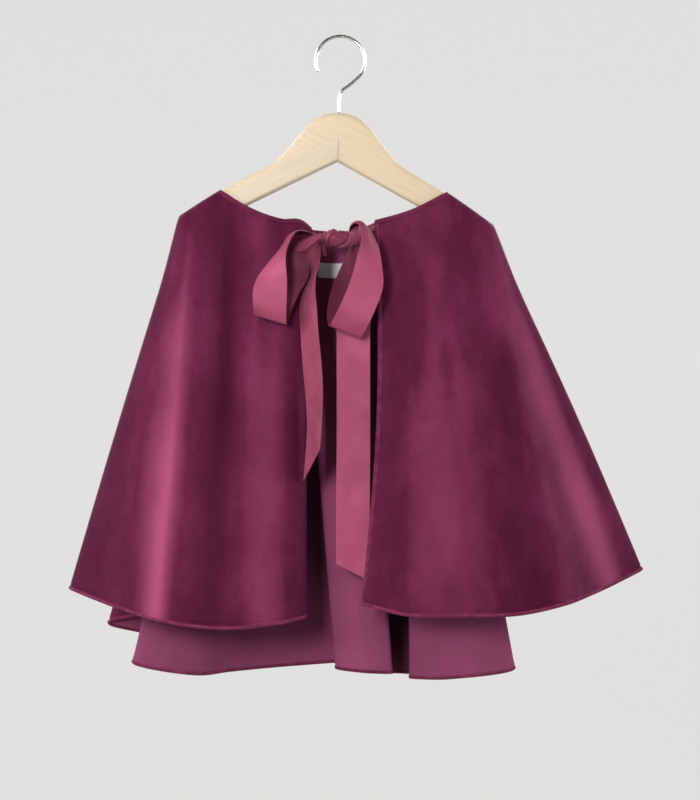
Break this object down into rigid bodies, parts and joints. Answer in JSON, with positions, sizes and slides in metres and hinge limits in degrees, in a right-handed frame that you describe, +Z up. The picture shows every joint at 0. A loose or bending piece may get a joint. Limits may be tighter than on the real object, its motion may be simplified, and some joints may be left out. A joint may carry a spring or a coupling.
{
  "type": "child's cape on a hanger",
  "caption": "Child's plum velvet cape hung on a pale wooden hanger, tied at the neck with a wide ribbon bow, its fronts open over a fluted back",
  "frame": {"origin": "inside top of the hanger's hook, where it bears on a peg or rail", "axes": "+X the viewer's right, +Y away from the viewer, through the cape from front to back, +Z up"},
  "size_m": [0.5575, 0.1239, 0.6277],
  "materials": {
    "velvet": "plum velvet with a soft nap, matt wrong side",
    "ribbon": "fine cross-ribbed ribbon",
    "label": "bare woven tab",
    "wood": "pale, satin varnished",
    "hook": "bright plated wire"
  },
  "bodies": {
    "root": {"front_left": "velvet", "front_right": "velvet", "back": "velvet", "neck_band_left": "velvet", "neck_band_right": "velvet", "neck_band_back": "velvet", "tie_left": "ribbon", "tie_right": "ribbon", "knot": "ribbon", "loop_left": "ribbon", "loop_right": "ribbon", "tail_left": "ribbon", "tail_right": "ribbon", "label": "label", "hanger_arm_left": "wood", "hanger_arm_right": "wood", "hanger_hook": "hook"}
  },
  "joints": []
}
